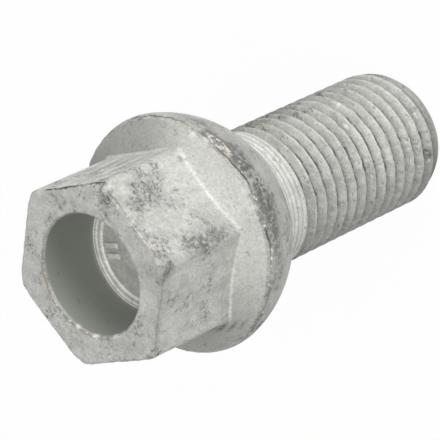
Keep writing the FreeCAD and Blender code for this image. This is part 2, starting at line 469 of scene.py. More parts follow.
@dataclass
class SkinMesh:
    """Collects the points and faces of a closed skin."""

    angles: np.ndarray
    points: list[Place] = field(default_factory=list)
    faces: list[tuple[int, ...]] = field(default_factory=list)
    zones: list[int] = field(default_factory=list)
    ways: list[tuple[float, float, float]] = field(default_factory=list)

    def add_point(
        self,
        radius: float,
        angle: float,
        height: float,
        zone: Zone,
        ways: tuple[float, float, float] = (FAR, FAR, FAR),
    ) -> int:
        """Add one point.

        Args:
            radius: Distance from the axis.
            angle: Angle in radians.
            height: Height above the end face.
            zone: Stretch of skin.
            ways: Distances to the rim, the head's edge and the recess's mouth.

        Returns:
            The point's number.
        """
        self.points.append((radius * math.cos(angle), radius * math.sin(angle), height))
        self.zones.append(zone.value)
        self.ways.append(ways)
        return len(self.points) - 1

    def add_ring(self, ring: Ring) -> list[int]:
        """Add the points of a ring.

        Args:
            ring: The ring to add.

        Returns:
            The points' numbers.
        """
        ways = zip(ring.rim_way, ring.edge_way, ring.mouth_way)
        columns = zip(ring.radius, self.angles, ring.height, ways)
        return [self.add_point(r, angle, height, ring.zone, way) for r, angle, height, way in columns]

    def bridge(self, rings: list[list[int]]) -> None:
        """Join each ring to the next with four-sided faces.

        Args:
            rings: The rings' points, in rising order along the skin.
        """
        for below, above in zip(rings, rings[1:]):
            for j in range(len(below)):
                after = (j + 1) % len(below)
                self.faces.append((below[j], below[after], above[after], above[j]))

    def weave(
        self,
        below: list[int],
        above: list[int],
        rows: list[dict[int, float]],
        turn: int,
        profile: Callable[[np.ndarray], np.ndarray],
    ) -> None:
        """Fill the space between two rings with rows that climb one pitch in a turn.

        Args:
            below: The lower ring's points.
            above: The upper ring's points.
            rows: For each column, its rows' heights by number.
            turn: How many rows one turn climbs.
            profile: Gives the radius at a height.
        """
        numbers = []
        for angle, column in zip(self.angles, rows):
            radii = profile(np.array(list(column.values())))
            places = zip(column.items(), radii)
            numbers.append({row: self.add_point(r, angle, z, Zone.SHANK) for (row, z), r in places})
        for j, here in enumerate(numbers):
            after = (j + 1) % len(numbers)
            shift = turn if after == 0 else 0
            there = {row - shift: point for row, point in numbers[after].items()}
            shared = sorted(set(here) & set(there))
            for row in shared[:-1]:
                self.faces.append((here[row], there[row], there[row + 1], here[row + 1]))
            first, last = shared[0], shared[-1]
            right = [there[row] for row in sorted(there) if row <= first]
            left = [here[row] for row in sorted(here) if row <= first]
            self.faces.append((below[j], below[after], *right, *reversed(left)))
            right = [there[row] for row in sorted(there) if row >= last]
            left = [here[row] for row in sorted(here) if row >= last]
            self.faces.append((left[0], *right, above[after], above[j], *reversed(left[1:])))

    def close(self, ring: list[int], height: float, zone: Zone, flip: bool) -> None:
        """Close a ring with a fan of triangles to a point on the axis.

        Args:
            ring: The ring's points.
            height: The height of the point on the axis.
            zone: The stretch of skin that the point belongs to.
            flip: Whether the fan looks down.
        """
        middle = self.add_point(0.0, 0.0, height, zone)
        for j in range(len(ring)):
            after = (j + 1) % len(ring)
            side = (ring[after], ring[j]) if flip else (ring[j], ring[after])
            self.faces.append((middle, *side))

    def to_mesh(self, name: str) -> bpy.types.Mesh:
        """Make the mesh, with its zone and ways as point attributes.

        Args:
            name: The mesh's name.

        Returns:
            The mesh, in metres.
        """
        mesh = bpy.data.meshes.new(name)
        mesh.from_pydata((np.array(self.points) * MM).tolist(), [], self.faces)
        mesh.attributes.new("zone", "INT", "POINT").data.foreach_set("value", self.zones)
        for label, numbers in zip(WAYS, np.array(self.ways).T):
            store_numbers(mesh, label, numbers)
        mesh.polygons.foreach_set("use_smooth", [True] * len(mesh.polygons))
        mesh.validate()
        return mesh


def store_numbers(mesh: bpy.types.Mesh, name: str, numbers: np.ndarray) -> None:
    """Keep one number for each point of a mesh under a name."""
    layer = mesh.attributes.get(name) or mesh.attributes.new(name, "FLOAT", "POINT")
    layer.data.foreach_set("value", np.ascontiguousarray(numbers, dtype=np.float32))


def read_numbers(mesh: bpy.types.Mesh, name: str, kind: type = float) -> np.ndarray:
    """Read what a mesh keeps for its points under a name.

    Args:
        mesh: The mesh.
        name: The attribute's name.
        kind: Whether the numbers are float or int.

    Returns:
        One number for each point.
    """
    values = np.zeros(len(mesh.vertices), dtype=np.float32 if kind is float else np.int32)
    mesh.attributes[name].data.foreach_get("value", values)
    return values


class Pattern(NamedTuple):
    """A noise pattern: waves in a metre, layers of detail and distortion."""

    per_metre: float
    detail: float
    distortion: float = 0.0


class Graph:
    """Builds a node tree with short calls that return sockets."""

    NOISE_ROUGHNESS = 0.6
    # Sockets of the Mix node that belong to its colour mode
    MIX_INPUTS = (0, 6, 7)
    MIX_RESULT = 2

    def __init__(self, tree: bpy.types.NodeTree) -> None:
        """Start on an empty tree."""
        self.tree = tree
        tree.nodes.clear()

    def node(self, kind: str, **settings: object) -> bpy.types.Node:
        """Add a node.

        Args:
            kind: The node's type.
            settings: The node's properties by name.

        Returns:
            The node.
        """
        made = self.tree.nodes.new(kind)
        for name, value in settings.items():
            setattr(made, name, value)
        return made

    def feed(self, socket: Socket, value: object) -> None:
        """Link a socket to another, or set its own value.

        Args:
            socket: The socket to feed.
            value: Another socket, a number, a vector or a colour.
        """
        if isinstance(value, bpy.types.NodeSocket):
            self.tree.links.new(value, socket)
        elif socket.type == "RGBA":
            socket.default_value = (*value, 1.0)
        else:
            socket.default_value = value

    def math(self, operation: str, *values: object, clamp: bool = False) -> Socket:
        """Add a math node.

        Args:
            operation: The node's operation.
            values: Up to three sockets or numbers.
            clamp: Whether the result is held between 0 and 1.

        Returns:
            The result.
        """
        made = self.node("ShaderNodeMath", operation=operation, use_clamp=clamp)
        for socket, value in zip(made.inputs, values):
            self.feed(socket, value)
        return made.outputs[0]

    def add(self, first: object, second: object) -> Socket:
        """Return the sum of two values."""
        return self.math("ADD", first, second)

    def less(self, first: object, second: object) -> Socket:
        """Return the first value less the second."""
        return self.math("SUBTRACT", first, second)

    def times(self, first: object, *others: object) -> Socket:
        """Multiply some values.

        Args:
            first: The first value.
            others: The values that it is multiplied by.

        Returns:
            The product.
        """
        for other in others:
            first = self.math("MULTIPLY", first, other)
        return first

    def ease(self, value: object, low: object, high: object, start: float = 0.0, end: float = 1.0) -> Socket:
        """Map a value by a soft step.

        Args:
            value: The value to map.
            low: Where the step starts.
            high: Where it ends.
            start: The result at low.
            end: The result at high.

        Returns:
            The mapped value.
        """
        made = self.node("ShaderNodeMapRange", interpolation_type="SMOOTHSTEP")
        names = ("Value", "From Min", "From Max", "To Min", "To Max")
        for name, number in zip(names, (value, low, high, start, end)):
            self.feed(made.inputs[name], number)
        return made.outputs[0]

    def mix(self, share: object, first: object, second: object, blend: str = "MIX") -> Socket:
        """Blend two colours.

        Args:
            share: The second colour's share.
            first: The first colour.
            second: The second colour.
            blend: The way they blend.

        Returns:
            The blended colour.
        """
        made = self.node("ShaderNodeMix", data_type="RGBA", blend_type=blend, clamp_factor=True)
        for number, value in zip(self.MIX_INPUTS, (share, first, second)):
            self.feed(made.inputs[number], value)
        return made.outputs[self.MIX_RESULT]

    def vector(self, *values: object) -> Socket:
        """Join three values into a vector.

        Args:
            values: The three values.

        Returns:
            The vector.
        """
        made = self.node("ShaderNodeCombineXYZ")
        for socket, value in zip(made.inputs, values):
            self.feed(socket, value)
        return made.outputs[0]

    def axes(self, vector: Socket) -> list[Socket]:
        """Split a vector into its three values.

        Args:
            vector: The vector.

        Returns:
            The values along X, Y and Z.
        """
        made = self.node("ShaderNodeSeparateXYZ")
        self.feed(made.inputs[0], vector)
        return list(made.outputs)

    def kept(self, name: str) -> Socket:
        """Return a number that the mesh keeps for its points."""
        return self.node("ShaderNodeAttribute", attribute_name=name).outputs["Fac"]

    def noise(self, place: Socket, pattern: Pattern) -> Socket:
        """Add a noise pattern.

        Args:
            place: Where the pattern is read.
            pattern: Its scale, detail and distortion.

        Returns:
            The pattern's value, about 0.5.
        """
        made = self.node("ShaderNodeTexNoise")
        self.feed(made.inputs["Vector"], place)
        made.inputs["Roughness"].default_value = self.NOISE_ROUGHNESS
        for name, number in zip(("Scale", "Detail", "Distortion"), pattern):
            made.inputs[name].default_value = number
        return made.outputs["Fac"]


class ShapeTree(Graph):
    """A geometry node tree with named number inputs that ends in a real, dressed mesh."""

    def __init__(self, name: str, numbers: dict[str, float]) -> None:
        """Start a tree with a mesh input and one input for each number.

        Args:
            name: The tree's name.
            numbers: The inputs' names and values, lengths in metres.
        """
        super().__init__(bpy.data.node_groups.new(name, "GeometryNodeTree"))
        self.numbers = numbers
        face = self.tree.interface
        face.new_socket("Geometry", in_out="INPUT", socket_type="NodeSocketGeometry")
        for label in numbers:
            face.new_socket(label, in_out="INPUT", socket_type="NodeSocketFloat")
        face.new_socket("Geometry", in_out="OUTPUT", socket_type="NodeSocketGeometry")
        self.given = self.node("NodeGroupInput").outputs

    def end(self, shape: Socket, finish: bpy.types.Material) -> None:
        """Make the shape real, give it its material and lead it out.

        Args:
            shape: The geometry to lead out.
            finish: The material that it gets.
        """
        real = self.node("GeometryNodeRealizeInstances")
        self.feed(real.inputs["Geometry"], shape)
        dressed = self.node("GeometryNodeSetMaterial")
        self.feed(dressed.inputs["Geometry"], real.outputs["Geometry"])
        dressed.inputs["Material"].default_value = finish
        self.feed(self.node("NodeGroupOutput").inputs["Geometry"], dressed.outputs["Geometry"])

    def run(self, start: bpy.types.Mesh) -> bpy.types.Mesh:
        """Run the tree on a mesh.

        Args:
            start: The mesh that the tree works on.

        Returns:
            The result as a plain mesh.
        """
        holder = bpy.data.objects.new(self.tree.name, start)
        bpy.context.scene.collection.objects.link(holder)
        modifier = holder.modifiers.new(self.tree.name, "NODES")
        modifier.node_group = self.tree
        for item in self.tree.interface.items_tree:
            if item.in_out == "INPUT" and item.name in self.numbers:
                modifier[item.identifier] = self.numbers[item.name]
        depsgraph = bpy.context.evaluated_depsgraph_get()
        mesh = bpy.data.meshes.new_from_object(holder.evaluated_get(depsgraph), depsgraph=depsgraph)
        holder.modifiers.remove(modifier)
        bpy.data.objects.remove(holder)
        return mesh


@dataclass(frozen=True)
class ThreadForm:
    """A rolled metric thread, cut into the blank by a node tree."""

    pitch: float = 1.5
    depth: float = 0.90
    crest: float = 0.17
    root_ease: float = 0.08
    crest_ease: float = 0.03
    flank_angle: float = 60.0
    phase: float = 0.80
    full_below: float = 20.7
    gone_above: float = 22.0
    wobble: float = 0.42
    wobble_per_mm: float = 1.1
    wobble_stretch: float = 0.3
    steady_below: float = 0.8
    uneven_above: float = 2.6
    root_row: float = 0.12
    crest_row: float = 0.09

    def row_shares(self) -> tuple[float, ...]:
        """Place rows of points at the root, on the flanks and at the crest.

        Returns:
            The rows' places within a pitch, in rising order.
        """
        half = self.pitch / 2.0
        flank = half - self.crest / 2.0
        root = flank - self.depth / math.tan(math.radians(self.flank_angle))
        ways = (root, root + self.root_row, flank - self.crest_row, flank)
        both = [-way for way in ways] + [0.0, *ways, half]
        return tuple(sorted((way / self.pitch + 0.5 + self.phase) % 1.0 for way in both))

    def inputs(self, radius: float) -> dict[str, float]:
        """List the tree's named inputs, lengths in metres.

        Args:
            radius: The blank's radius in millimetres.

        Returns:
            A number for each input name.
        """
        return {
            "Radius": radius * MM,
            "Pitch": self.pitch * MM,
            "Depth": self.depth * MM,
            "Half Groove": (self.pitch - self.crest) / 2.0 * MM,
            "Flank Slope": math.tan(math.radians(self.flank_angle)),
            "Root Ease": self.root_ease * MM,
            "Crest Ease": self.crest_ease * MM,
            "Phase": self.phase,
            "Full Below": self.full_below * MM,
            "Gone Above": self.gone_above * MM,
            "Wobble": self.wobble * MM,
            "Wobble Scale": self.wobble_per_mm / MM,
            "Wobble Stretch": self.wobble_stretch,
            "Steady Below": self.steady_below * MM,
            "Uneven Above": self.uneven_above * MM,
        }

    def cut(self, blank: bpy.types.Mesh, radius: float, finish: bpy.types.Material) -> bpy.types.Mesh:
        """Press a helical groove into every point of the shank, by a node tree.

        Args:
            blank: The unthreaded bolt, in metres.
            radius: The blank's shank radius in millimetres.
            finish: The material that the result gets.

        Returns:
            The threaded mesh, with the groove's depth as an attribute.
        """
        graph = ShapeTree("rolled_thread", self.inputs(radius))
        given = graph.given
        x, y, z = graph.axes(graph.node("GeometryNodeInputPosition").outputs[0])
        reach = graph.math("SQRT", graph.add(graph.times(x, x), graph.times(y, y)))
        turn = graph.math("DIVIDE", graph.math("ARCTAN2", y, x), FULL_TURN)
        climb = graph.less(graph.math("DIVIDE", z, given["Pitch"]), graph.add(turn, given["Phase"]))
        off_middle = graph.math("ABSOLUTE", graph.less(graph.math("FRACT", climb), 0.5))
        inside = graph.less(given["Half Groove"], graph.times(off_middle, given["Pitch"]))
        flank = graph.times(inside, given["Flank Slope"])
        groove = graph.math("SMOOTH_MIN", flank, given["Depth"], given["Root Ease"])
        groove = graph.math("SMOOTH_MAX", groove, 0.0, given["Crest Ease"])
        fade = graph.ease(z, given["Full Below"], given["Gone Above"], 1.0, 0.0)
        groove = graph.times(groove, fade)
        on_shank = graph.math("LESS_THAN", z, given["Gone Above"])
        cut = graph.math("MINIMUM", reach, graph.less(given["Radius"], groove))
        loss = graph.times(graph.less(reach, cut), on_shank)
        share = graph.math("DIVIDE", graph.less(reach, loss), graph.math("MAXIMUM", reach, TINY))

        uneven = graph.node("ShaderNodeTexNoise")
        graph.feed(uneven.inputs["Vector"], graph.vector(x, y, graph.times(z, given["Wobble Stretch"])))
        graph.feed(uneven.inputs["Scale"], given["Wobble Scale"])
        loose = graph.times(fade, graph.ease(z, given["Steady Below"], given["Uneven Above"]))
        sway = graph.times(graph.less(uneven.outputs[0], 0.5), given["Wobble"], loose)

        kept = graph.node("GeometryNodeStoreNamedAttribute", data_type="FLOAT", domain="POINT")
        kept.inputs["Name"].default_value = "groove"
        graph.feed(kept.inputs["Geometry"], given["Geometry"])
        graph.feed(kept.inputs["Value"], graph.math("DIVIDE", loss, given["Depth"]))
        shifted = graph.node("GeometryNodeSetPosition")
        graph.feed(shifted.inputs["Geometry"], kept.outputs["Geometry"])
        moved = graph.vector(graph.times(x, share), graph.times(y, share), graph.add(z, sway))
        graph.feed(shifted.inputs["Position"], moved)
        graph.end(shifted.outputs["Geometry"], finish)
        return graph.run(blank)


@dataclass(frozen=True)
class RecessRibs:
    """Two low rounded ribs on the floor of the recess."""

    floor: float
    count: int = 2
    length: float = 1.7
    width: float = 0.56
    height: float = 0.44
    sunk: float = 0.2
    angle: float = 53.5
    reach: float = 3.6
    spacing: float = 1.05
    crease: float = 0.55
    rounding: int = 3
    # Painted light: the ribs' coat is made lighter.
    painted_shading: float = 1.5

    def inputs(self) -> dict[str, float]:
        """List the tree's named inputs, lengths in metres and the turn in radians.

        Returns:
            A number for each input name.
        """
        return {
            "Length": self.length * MM,
            "Width": self.width * MM,
            "Height": (self.height + self.sunk) * MM,
            "Reach": self.reach * MM,
            "Spacing": self.spacing * MM,
            "Middle": (self.floor + (self.height - self.sunk) / 2.0) * MM,
            "Turn": math.radians(self.angle),
            "Crease": self.crease,
        }

    def build(self, finish: bpy.types.Material) -> bpy.types.Mesh:
        """Repeat one rounded bar along a line, by a node tree.

        Args:
            finish: The material that the ribs get.

        Returns:
            The ribs' mesh, in metres.
        """
        graph = ShapeTree("recess_ribs", self.inputs())
        given = graph.given
        bar = graph.node("GeometryNodeMeshCube")
        graph.feed(bar.inputs["Size"], graph.vector(given["Length"], given["Width"], given["Height"]))
        soft = graph.node("GeometryNodeSubdivisionSurface")
        graph.feed(soft.inputs["Mesh"], bar.outputs["Mesh"])
        soft.inputs["Level"].default_value = self.rounding
        graph.feed(soft.inputs["Edge Crease"], given["Crease"])
        row = graph.node("GeometryNodeMeshLine")
        row.inputs["Count"].default_value = self.count
        aside = graph.times(given["Spacing"], (1 - self.count) / 2.0)
        graph.feed(row.inputs["Start Location"], graph.vector(given["Reach"], aside, given["Middle"]))
        graph.feed(row.inputs["Offset"], graph.vector(0.0, given["Spacing"], 0.0))
        spread = graph.node("GeometryNodeInstanceOnPoints")
        graph.feed(spread.inputs["Points"], row.outputs["Mesh"])
        graph.feed(spread.inputs["Instance"], soft.outputs["Mesh"])
        turned = graph.node("GeometryNodeTransform")
        graph.feed(turned.inputs["Geometry"], spread.outputs["Instances"])
        graph.feed(turned.inputs["Rotation"], graph.vector(0.0, 0.0, given["Turn"]))
        graph.end(turned.outputs["Geometry"], finish)
        mesh = graph.run(bpy.data.meshes.new("rib_start"))
        mesh.polygons.foreach_set("use_smooth", [True] * len(mesh.polygons))
        plain = np.ones(len(mesh.vertices))
        # The ribs keep their painted light.
        store_numbers(mesh, "painted_shading", self.painted_shading * plain)
        for name in WAYS:
            store_numbers(mesh, name, FAR * plain)
        return mesh


@dataclass
class SkinPoints:
    """The points of the threaded skin in millimetres, with their normals, zones and angles."""

    places: np.ndarray
    normals: np.ndarray
    zones: np.ndarray
    degrees: np.ndarray

    @classmethod
    def from_mesh(cls, mesh: bpy.types.Mesh) -> "SkinPoints":
        """Read the points of a mesh.

        Args:
            mesh: The threaded bolt, in metres.

        Returns:
            Its points.
        """
        places = np.zeros(len(mesh.vertices) * 3)
        mesh.vertices.foreach_get("co", places)
        places = places.reshape(-1, 3) / MM
        normals = np.zeros(len(mesh.vertices) * 3, dtype=np.float32)
        mesh.vertex_normals.foreach_get("vector", normals)
        degrees = np.degrees(np.arctan2(places[:, 1], places[:, 0]))
        return cls(places, normals.reshape(-1, 3), read_numbers(mesh, "zone", int), degrees)

    @property
    def heights(self) -> np.ndarray:
        """Each point's height."""
        return self.places[:, 2]

    @property
    def reach(self) -> np.ndarray:
        """Each point's distance from the axis."""
        return np.hypot(self.places[:, 0], self.places[:, 1])

    def on(self, zone: Zone) -> np.ndarray:
        """Return which points lie in a zone."""
        return self.zones == zone.value


@dataclass(frozen=True)
class Mark:
    """A patch on the skin, by its angle in degrees, height and perhaps radius, with its half sizes."""

    angle: float
    height: float
    across: float
    along: float
    strength: float
    reach: float | None = None

    def weight(self, skin: SkinPoints) -> np.ndarray:
        """Work out how much each point belongs to the patch.

        Args:
            skin: The skin's points.

        Returns:
            Numbers from 0 to 1.
        """
        aside = np.radians(turn_between(skin.degrees, self.angle)) * skin.reach
        away = (skin.heights - self.height) ** 2
        if self.reach is not None:
            away += (skin.reach - self.reach) ** 2
        return np.exp(-((aside / self.across) ** 2) - away / self.along**2)

    def share(self, skin: SkinPoints) -> np.ndarray:
        """Return the patch's strength at each point."""
        return self.strength * self.weight(skin)


@dataclass(frozen=True)
class Span:
    """A stretch of angles in degrees, with soft ends and a strength."""

    first: float
    last: float
    blend: float
    strength: float = 1.0

    def share(self, skin: SkinPoints) -> np.ndarray:
        """Work out the span's strength at each point.

        Args:
            skin: The skin's points.

        Returns:
            The strength between the two angles, and 0 outside.
        """
        half = (self.last - self.first) / 2.0
        away = np.abs(turn_between(skin.degrees, self.first + half))
        return Step(-half - self.blend, -half + self.blend, 0.0, self.strength).at(-away)


def total(parts: tuple[Mark | Span, ...], skin: SkinPoints) -> np.ndarray:
    """Return the sum of what some marks or spans give each point."""
    return sum(part.share(skin) for part in parts)


class Rough(NamedTuple):
    """An uneven amount: a base, and shares of middle and fine noise."""

    base: float
    middle: float
    fine: float

    def of(self, middle: np.ndarray, fine: np.ndarray) -> np.ndarray:
        """Return the amount at each point."""
        return self.base + self.middle * middle + self.fine * fine


@dataclass(frozen=True)
class NoiseField:
    """Smooth noise in space, by its waves in a millimetre and a shift of the pattern."""

    per_mm: float
    seed: float

    def at(self, places: np.ndarray) -> np.ndarray:
        """Read the noise.

        Args:
            places: Points in millimetres.

        Returns:
            One number between about -1 and 1 for each place.
        """
        shift = Vector((self.seed, -self.seed, 2.0 * self.seed))
        return np.array([noise.noise(Vector(place) * self.per_mm + shift) for place in places])


@dataclass(frozen=True)
class PaintedLightAndShade:
    """Painted light and shade on each stretch of skin, as a factor about 1 on the coat's grey."""

    # Painted shade: the seat, the collar's edge, the shank and the mouth's chamfer are made darker.
    levels: tuple[tuple[Zone, float], ...] = (
        (Zone.SEAT, 0.74),
        (Zone.COLLAR_EDGE, 0.84),
        (Zone.SHANK, 0.93),
        (Zone.MOUTH, 0.75),
    )
    # Painted shade: the cone and the shank turn darker away from this angle, which faces the lamps.
    lit_angle: float = -95.0
    cone: float = 1.02
    # Painted shade on the cone's two sides.
    cone_left: Step = Step(40.0, 100.0, 0.0, 0.32)
    cone_right: Step = Step(25.0, 65.0, 0.0, 0.36)
    # Painted shade: the flat that faces the key lamp is made a little darker.
    flat_shade: Span = Span(-120.0, -60.0, 2.0, 0.05)
    foot: float = 0.97
    # Painted highlight: a thin lighter line on the foot fillet, where the normal's upward share is near
    # foot_lean.
    foot_highlight: tuple[Span, ...] = (Span(-120.0, -62.0, 4.0, 0.06), Span(-180.0, -120.0, 4.0, 0.28))
    foot_lean: float = 0.62
    foot_lean_reach: float = 0.13
    # Lighter neck band: a painted highlight on the fillet, partly cleaner turned metal.
    neck_clean_and_highlight: Step = Step(21.3, 21.9, 0.0, 0.26)
    tip_loss: Step = Step(-2.4, -1.2, 0.0, 0.30)
    # Painted light: deeper in the thread's grooves the coat is made lighter, against the shade there.
    groove_fill_light: float = 0.04
    groove_limit: float = 0.8
    # Painted shade towards the shank's sides.
    side_shade: Step = Step(45.0, 90.0, 0.0, 0.15)
    # Painted light: the recess's ledge is made much lighter, in concentric rings.
    ledge: float = 1.40
    ledge_ring: float = 0.45
    ledge_ring_reach: float = 5.5
    ledge_ring_pitch: float = 0.36

    def of(self, skin: SkinPoints, groove: np.ndarray) -> np.ndarray:
        """Work out the painted light and shade of every point.

        Args:
            skin: The skin's points.
            groove: How deep in the thread each point lies, from 0 to 1.

        Returns:
            One factor for each point.
        """
        painted_shading = np.ones(len(skin.zones))
        for zone, level in self.levels:
            painted_shading[skin.on(zone)] = level
        turn = turn_between(skin.degrees, self.lit_angle)
        cone = self.cone - self.cone_left.at(-turn) - self.cone_right.at(turn)
        foot_highlight_line = bell(skin.normals[:, 2] - self.foot_lean, self.foot_lean_reach)
        foot = self.foot + total(self.foot_highlight, skin) * foot_highlight_line
        wave = np.cos((skin.reach - self.ledge_ring_reach) * FULL_TURN / self.ledge_ring_pitch)
        ledge = self.ledge + self.ledge_ring * wave
        for zone, numbers in ((Zone.CONE, cone), (Zone.FOOT, foot), (Zone.LEDGE, ledge)):
            painted_shading = np.where(skin.on(zone), numbers, painted_shading)
        along = self.neck_clean_and_highlight.at(skin.heights) - self.tip_loss.at(-skin.heights)
        painted_shading += along * (skin.zones <= Zone.NECK.value)
        groove_painted_light = self.groove_fill_light * np.clip(groove, 0.0, self.groove_limit)
        painted_shading += (groove_painted_light - self.side_shade.at(np.abs(turn))) * skin.on(Zone.SHANK)
        return painted_shading - self.flat_shade.share(skin) * skin.on(Zone.FLAT)


@dataclass(frozen=True)
class Scuffing:
    """How thick the dark flecks lie on each stretch of skin, and where they crowd."""

    elsewhere: float = 0.05
    levels: tuple[tuple[Zone, float], ...] = (
        (Zone.SHANK, 0.10),
        (Zone.SEAT, 0.24),
        (Zone.COLLAR_EDGE, 0.34),
        (Zone.CONE, 0.04),
        (Zone.FLAT, 0.34),
        (Zone.HEAD_EDGE, 0.30),
        (Zone.FACE, 0.18),
        (Zone.MOUTH, 0.2),
        (Zone.WALL, 0.0),
        (Zone.LEDGE, 0.0),
        (Zone.FLOOR, 0.02),
    )
    flat_rise: Step = Step(35.0, 38.5)
    clean_flat: Span = Span(-178.0, -122.0, 3.0, 0.60)
    marks: tuple[Mark, ...] = (
        Mark(-67.8, 41.3, 0.9, 0.8, 0.55),
        Mark(-75.0, 41.0, 1.6, 1.7, 0.35),
        Mark(-84.0, 39.2, 1.5, 1.6, 0.30),
        Mark(-88.0, 42.3, 1.8, 1.0, 0.20),
        Mark(-117.0, 38.0, 1.0, 2.8, 0.60),
        Mark(-63.0, 44.0, 0.7, 0.6, 0.7, 8.7),
        Mark(-98.0, 31.6, 3.2, 0.9, 0.75),
        Mark(-113.0, 31.6, 2.4, 0.9, 0.75),
        Mark(-122.0, 43.5, 0.9, 0.8, 0.55),
        Mark(-147.0, 40.6, 1.6, 1.6, 0.12),
        Mark(-150.0, 37.2, 2.2, 0.8, 0.25),
        Mark(-26.0, 15.0, 2.4, 8.0, 0.40),
        Mark(166.0, 12.0, 2.0, 9.0, 0.25),
    )

    def of(self, skin: SkinPoints) -> np.ndarray:
        """Work out the flecks' thickness at every point.

        Args:
            skin: The skin's points.

        Returns:
            Numbers from 0 to 1.
        """
        share = np.full(len(skin.zones), self.elsewhere)
        for zone, level in self.levels:
            share[skin.on(zone)] = level
        on_flat = self.flat_rise.at(skin.heights) * (1.0 - self.clean_flat.share(skin))
        share = np.where(skin.on(Zone.FLAT), share * on_flat, share)
        share += total(self.marks, skin) * (skin.zones <= Zone.FACE.value)
        return np.clip(share, 0.0, 1.0)


@dataclass(frozen=True)
class Wear:
    """Nicks, burrs and dents, as real shape and as attributes for the coat, among them its painted light and
    shade.
    """

    dents: tuple[Mark, ...] = (
        Mark(-77.0, 31.97, 1.9, 0.58, 0.30),
        Mark(-64.5, 32.75, 0.7, 0.30, 0.14),
        Mark(-107.4, 32.6, 0.5, 0.4, 0.14),
    )
    burrs: tuple[Mark, ...] = (
        Mark(-63.0, 43.75, 0.32, 0.55, 0.12, 9.3),
        Mark(-74.0, 44.05, 0.5, 0.3, 0.07),
        Mark(-96.0, 44.05, 0.8, 0.3, 0.08),
        Mark(-112.0, 44.05, 0.6, 0.3, 0.08),
    )
    pits: tuple[Mark, ...] = (
        Mark(-34.5, 44.2, 0.16, 0.38, 1.0, 6.28),
        Mark(-19.0, 44.2, 0.20, 0.20, 0.8, 6.72),
        Mark(-26.0, 44.2, 0.16, 0.18, 0.7, 7.14),
        Mark(-41.0, 44.2, 0.16, 0.18, 0.7, 7.54),
        Mark(19.0, 44.2, 0.18, 0.18, 0.7, 7.10),
        Mark(-67.8, 41.2, 0.30, 0.35, 0.8),
        Mark(-74.7, 39.8, 0.30, 0.25, 0.7),
        Mark(-81.1, 37.3, 0.16, 0.20, 0.9),
        Mark(-60.3, 43.90, 0.14, 0.45, 0.9, 9.25),
        Mark(-66.8, 43.95, 0.14, 0.40, 0.9, 9.05),
        Mark(167.0, 33.78, 1.0, 0.15, 0.9, 9.30),
        Mark(172.5, 33.58, 1.0, 0.16, 1.1, 9.74),
        Mark(178.0, 33.34, 1.0, 0.15, 1.0, 10.27),
        Mark(-176.6, 33.10, 0.8, 0.13, 0.8, 10.80),
        Mark(-138.0, 2.4, 0.75, 0.16, 0.9),
        Mark(-108.0, 31.9, 1.2, 0.35, 0.8),
    )
    glints: tuple[Mark, ...] = (
        Mark(-63.0, 10.1, 0.22, 0.22, 1.0),
        Mark(-124.0, 8.5, 0.70, 0.12, 0.8),
        Mark(-63.5, 43.75, 0.20, 0.50, 0.6, 9.30),
        Mark(-64.0, 32.85, 0.35, 0.16, 0.8),
        Mark(-71.5, 32.60, 0.40, 0.18, 0.6),
        Mark(112.0, 44.15, 0.25, 0.25, 1.0, 5.95),
        Mark(134.0, 44.15, 0.30, 0.25, 1.0, 5.95),
        Mark(158.0, 44.1, 0.35, 0.30, 0.9, 5.95),
    )
    # Darker patches below the rim and on the shank; the one along the shank's side is painted shade.
    smudges_and_shade: tuple[Mark, ...] = (
        Mark(-118.0, 37.6, 1.1, 2.8, 0.9),
        Mark(-86.0, 31.3, 2.0, 0.8, 0.8),
        Mark(-97.0, 31.4, 3.2, 1.1, 1.0),
        Mark(-112.0, 31.4, 2.6, 1.2, 1.0),
        Mark(-133.0, 31.5, 2.4, 0.9, 0.7),
        Mark(-121.5, 43.5, 0.9, 0.8, 0.8),
        Mark(-60.0, 31.4, 2.6, 0.7, 0.6),
        Mark(-77.0, 40.2, 1.8, 1.6, 0.45),
        Mark(-64.0, 44.1, 0.6, 0.6, 0.8, 8.6),
        # Painted shade along the shank's side.
        Mark(-18.0, 16.0, 2.2, 8.0, 0.50),
        Mark(-150.0, 1.6, 6.0, 1.0, 0.4),
    )
    worn_edge: tuple[Span, ...] = (Span(-121.0, -58.0, 5.0, 0.8),)
    worn_edge_least: float = 0.2
    dark_edge: tuple[Span, ...] = (
        Span(-61.0, -9.0, 4.0, 1.0),
        Span(-121.0, -60.0, 4.0, 0.45),
        Span(-143.0, -122.0, 4.0, 0.6),
        Span(-176.0, -143.0, 4.0, 0.22),
        # Painted shade: a dark line along the head's far edges.
        Span(-9.0, 184.0, 4.0, 0.4),
    )
    dark_rim: tuple[Span, ...] = (Span(-128.0, -84.0, 8.0, 0.65), Span(-50.0, -18.0, 6.0, 0.4))
    dark_rim_least: float = 0.45
    streaked: tuple[Span, ...] = (Span(-58.0, -2.0, 3.0, 1.0),)
    streaked_least: float = 0.25
    turned: Step = Step(21.4, 21.9)
    calm_cone: float = 0.65
    coarse: NoiseField = NoiseField(0.35, 3.1)
    middle: NoiseField = NoiseField(1.1, 7.7)
    fine: NoiseField = NoiseField(2.6, 12.3)
    head_wave: float = 0.012
    rim_reach: float = 0.30
    rim_rough: Rough = Rough(-0.02, 0.07, 0.05)
    edge_reach: float = 0.26
    edge_rough: Rough = Rough(0.0, 0.05, 0.05)
    beaten_reach: float = 0.5
    beaten_span: Span = Span(-178.0, -124.0, 3.0)
    beaten_rough: Rough = Rough(-0.11, -0.05, 0.0)
    beaten_dirt: float = 0.5
    mouth_reach: float = 0.13
    mouth_burr_angle: float = 85.0
    mouth_burr_side: Step = Step(0.2, 0.7)
    mouth_rough: Rough = Rough(0.0, 0.06, 0.05)
    dent_rough: Rough = Rough(-0.8, 0.0, -0.4)
    burr_rough: Rough = Rough(0.55, 0.3, 0.6)
    height_spare: float = 0.25
